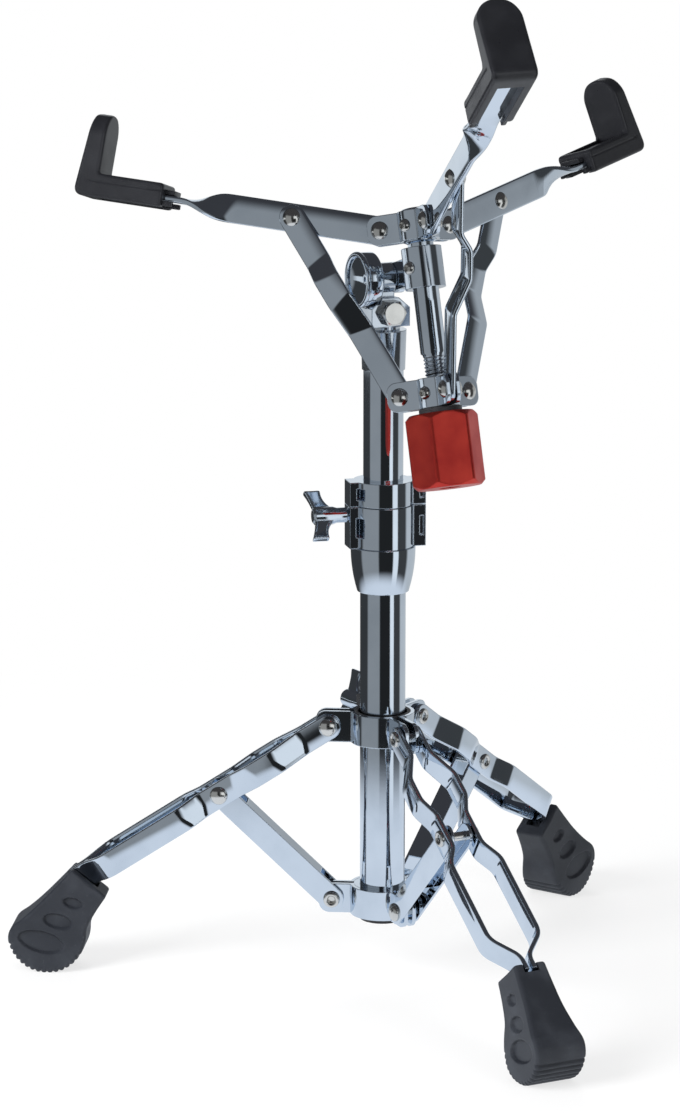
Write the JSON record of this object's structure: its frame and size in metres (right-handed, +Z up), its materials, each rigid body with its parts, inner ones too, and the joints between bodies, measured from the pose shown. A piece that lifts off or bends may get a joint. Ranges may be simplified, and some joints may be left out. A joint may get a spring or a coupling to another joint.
{
  "type": "snare drum stand",
  "caption": "Folding tripod snare drum stand with a height clamp, tilting rod, rubber-tipped basket arms closed by a grip nut, bowed legs and rubber feet.",
  "frame": {"origin": "on the floor, under the axis of the lower tube", "axes": "+Z up along the tube, -Y along the front leg, +X along the tilt axis"},
  "size_m": [0.383, 0.3318, 0.5615],
  "materials": {
    "chrome": "bright mirror chrome plating on steel",
    "cast_chrome": "chrome plating on a slightly rougher casting",
    "bright_fastener": "bright nickel-plated fasteners",
    "foot_rubber": "matte black moulded rubber",
    "tip_rubber": "satin black moulded rubber",
    "black_nylon": "black nylon",
    "red_anodised": "satin red anodised aluminium"
  },
  "bodies": {
    "base": {"lower_tube": "chrome", "tube_end_cap": "black_nylon", "hub_plates": "chrome", "hub_core": "chrome", "hub_rivets": "bright_fastener", "clamp_cup": "chrome", "clamp_body": "chrome", "clamp_bushing": "black_nylon"},
    "brace_front": {"brace_front": "chrome"},
    "leg_front": {"leg_front_bar_left": "chrome", "leg_front_bar_right": "chrome", "leg_front_rivet": "bright_fastener", "foot_front": "foot_rubber"},
    "brace_right": {"brace_right": "chrome"},
    "leg_right": {"leg_right_bar_left": "chrome", "leg_right_bar_right": "chrome", "leg_right_rivet": "bright_fastener", "foot_right": "foot_rubber"},
    "brace_left": {"brace_left": "chrome"},
    "leg_left": {"leg_left_bar_left": "chrome", "leg_left_bar_right": "chrome", "leg_left_rivet": "bright_fastener", "foot_left": "foot_rubber"},
    "collar": {"collar_plates": "chrome", "collar_liner": "black_nylon", "collar_rivets": "bright_fastener"},
    "collar_screw": {"collar_wing_screw": "chrome"},
    "clamp_bolt": {"clamp_wing_bolt": "chrome"},
    "memory_lock": {"memory_lock": "chrome", "memory_lock_key_bolt": "bright_fastener"},
    "mast": {"upper_tube": "chrome", "tilter_socket": "cast_chrome", "tilter_head": "cast_chrome", "tilter_hex_bolt": "bright_fastener", "tilt_axle": "bright_fastener"},
    "tilt_knob": {"tilt_knob": "chrome"},
    "cradle": {"tilt_bracket": "chrome", "bracket_screw": "bright_fastener", "basket_rod": "chrome", "top_hub_plates": "chrome", "top_hub_rivets": "bright_fastener", "top_hub_screws": "bright_fastener"},
    "arm_front": {"arm_front": "chrome", "arm_front_rivet": "bright_fastener", "arm_front_rubber_tip": "tip_rubber"},
    "link_front": {"link_front": "chrome"},
    "arm_right": {"arm_right": "chrome", "arm_right_rivet": "bright_fastener", "arm_right_rubber_tip": "tip_rubber"},
    "link_right": {"link_right": "chrome"},
    "arm_left": {"arm_left": "chrome", "arm_left_rivet": "bright_fastener", "arm_left_rubber_tip": "tip_rubber"},
    "link_left": {"link_left": "chrome"},
    "lower_hub": {"lower_hub_plates": "chrome", "lower_hub_rivets": "bright_fastener", "lower_hub_screws": "bright_fastener", "lower_hub_bush": "black_nylon"},
    "grip_nut": {"grip_nut": "red_anodised", "nut_washer": "black_nylon"}
  },
  "joints": [
    {"name": "leg_fold", "type": "hinge", "parent": "base", "child": "brace_front", "pos_m": [0, -0.0283, 0.0453], "axis": [-1, 0, 0], "range_deg": [0, 30.52]},
    {"name": "leg_front_swing", "type": "hinge", "parent": "brace_front", "child": "leg_front", "pos_m": [0, -0.0917, 0.1056], "axis": [1, 0, 0], "range_deg": [0, 71.02]},
    {"name": "collar_level", "type": "hinge", "parent": "leg_front", "child": "collar", "pos_m": [0, -0.0302, 0.1457], "axis": [-1, 0, 0], "range_deg": [0, 40.5]},
    {"name": "leg_right_swing", "type": "hinge", "parent": "collar", "child": "leg_right", "pos_m": [0.02615, 0.0151, 0.1457], "axis": [-0.5, 0.866, 0], "range_deg": [0, 40.5]},
    {"name": "brace_right_swing", "type": "hinge", "parent": "leg_right", "child": "brace_right", "pos_m": [0.07941, 0.04585, 0.1056], "axis": [0.5, -0.866, 0], "range_deg": [0, 71.02]},
    {"name": "leg_left_swing", "type": "hinge", "parent": "collar", "child": "leg_left", "pos_m": [-0.02615, 0.0151, 0.1457], "axis": [-0.5, -0.866, 0], "range_deg": [0, 40.5]},
    {"name": "brace_left_swing", "type": "hinge", "parent": "leg_left", "child": "brace_left", "pos_m": [-0.07941, 0.04585, 0.1056], "axis": [0.5, 0.866, 0], "range_deg": [0, 71.02]},
    {"name": "collar_screw_turn", "type": "hinge", "parent": "collar", "child": "collar_screw", "pos_m": [-0.00244, 0.01985, 0.1542], "axis": [-0.1219, 0.9925, 0], "continuous": true},
    {"name": "clamp_bolt_turn", "type": "hinge", "parent": "base", "child": "clamp_bolt", "pos_m": [-0.01956, 0.00416, 0.2675], "axis": [-0.9781, 0.2079, 0], "continuous": true},
    {"name": "height", "type": "slide", "parent": "base", "child": "memory_lock", "axis": [0, 0, 1], "range_m": [0, 0.1]},
    {"name": "mast_swivel", "type": "hinge", "parent": "memory_lock", "child": "mast", "pos_m": [0, 0, 0.28], "axis": [0, 0, 1], "continuous": true},
    {"name": "tilt_knob_turn", "type": "hinge", "parent": "mast", "child": "tilt_knob", "pos_m": [-0.01, 0, 0.3985], "axis": [1, 0, 0], "continuous": true},
    {"name": "tilt", "type": "hinge", "parent": "mast", "child": "cradle", "pos_m": [0.007, 0, 0.3985], "axis": [1, 0, 0], "range_deg": [-20, 14]},
    {"name": "basket_fold", "type": "hinge", "parent": "cradle", "child": "arm_front", "pos_m": [-0.00322, -0.06136, 0.43761], "axis": [-0.9877, 0.1504, -0.0431], "range_deg": [0, 42]},
    {"name": "link_front_swing", "type": "hinge", "parent": "arm_front", "child": "link_front", "pos_m": [-0.01062, -0.10235, 0.46414], "axis": [0.9877, -0.1504, 0.0431], "range_deg": [0, 31.19]},
    {"name": "arm_right_fold", "type": "hinge", "parent": "cradle", "child": "arm_right", "pos_m": [0.01923, -0.0347, 0.42996], "axis": [0.3584, -0.8974, 0.2573], "range_deg": [0, 42.5]},
    {"name": "link_right_swing", "type": "hinge", "parent": "arm_right", "child": "link_right", "pos_m": [0.06339, -0.01449, 0.43894], "axis": [-0.3584, 0.8974, -0.2573], "range_deg": [0, 31.19]},
    {"name": "arm_left_fold", "type": "hinge", "parent": "cradle", "child": "arm_left", "pos_m": [-0.01601, -0.02934, 0.42843], "axis": [0.6293, 0.747, -0.2142], "range_deg": [0, 42.5]},
    {"name": "link_left_swing", "type": "hinge", "parent": "arm_left", "child": "link_left", "pos_m": [-0.05277, 0.00319, 0.43387], "axis": [-0.6293, -0.747, 0.2142], "range_deg": [0, 31.19]},
    {"name": "lower_hub_slide", "type": "slide", "parent": "cradle", "child": "lower_hub", "axis": [0, 0.2756, 0.9613], "range_m": [0, 0.02091]},
    {"name": "grip_nut_turn", "type": "hinge", "parent": "cradle", "child": "grip_nut", "pos_m": [0, -0.07488, 0.31665], "axis": [0, 0.2756, 0.9613], "continuous": true}
  ],
  "couplings": [
    {"joint": "leg_front_swing", "follows": "leg_fold", "ratio": 2.3106},
    {"joint": "collar_level", "follows": "leg_fold", "ratio": 1.3106},
    {"joint": "leg_right_swing", "follows": "leg_fold", "ratio": 1.3106},
    {"joint": "brace_right_swing", "follows": "leg_fold", "ratio": 2.3106},
    {"joint": "leg_left_swing", "follows": "leg_fold", "ratio": 1.3106},
    {"joint": "brace_left_swing", "follows": "leg_fold", "ratio": 2.3106},
    {"joint": "link_front_swing", "follows": "basket_fold", "ratio": 0.7307},
    {"joint": "arm_right_fold", "follows": "basket_fold", "ratio": 1},
    {"joint": "link_right_swing", "follows": "basket_fold", "ratio": 0.7307},
    {"joint": "arm_left_fold", "follows": "basket_fold", "ratio": 1},
    {"joint": "link_left_swing", "follows": "basket_fold", "ratio": 0.7307},
    {"joint": "lower_hub_slide", "follows": "basket_fold", "m_per_rad": 0.028248}
  ]
}
